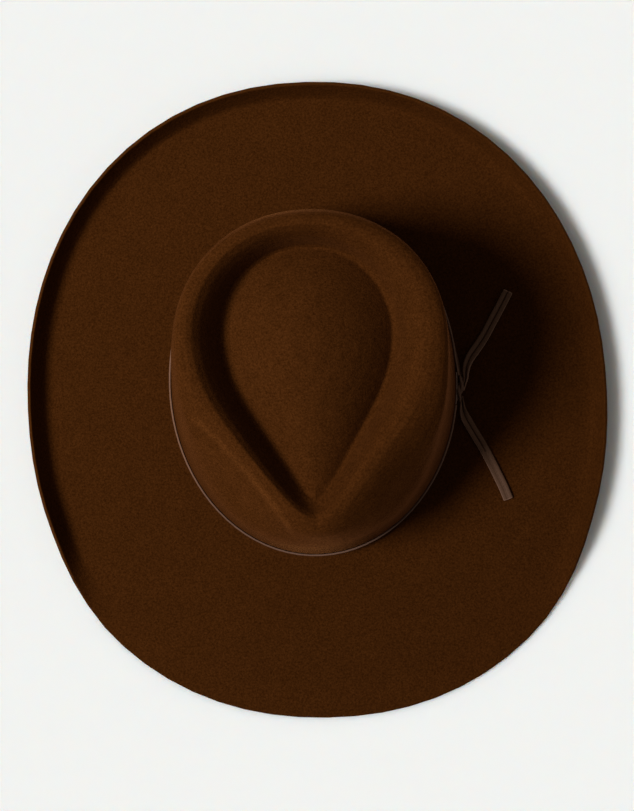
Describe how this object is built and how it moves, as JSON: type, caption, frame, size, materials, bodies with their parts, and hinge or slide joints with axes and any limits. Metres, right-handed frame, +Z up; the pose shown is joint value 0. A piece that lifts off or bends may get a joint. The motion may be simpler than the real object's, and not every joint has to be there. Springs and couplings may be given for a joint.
{
  "type": "hat",
  "caption": "Felt hat with a wide, nearly round brim turned up at the back and sides, a creased teardrop crown and a leather lace tied round the crown.",
  "frame": {"origin": "on the surface the hat rests on, under the middle of the brim's box", "axes": "+Z up through the crown, +Y from the front of the hat to the back, +X to the wearer's left"},
  "size_m": [0.3452, 0.3801, 0.106],
  "materials": {
    "felt": "rust brown wool felt, soft short nap",
    "lace": "matt dark brown leather lace"
  },
  "bodies": {
    "root": {"felt_body": "felt", "hat_band": "lace", "band_tab": "lace", "band_knot": "lace", "tail_back": "lace", "tail_front": "lace"}
  },
  "joints": []
}
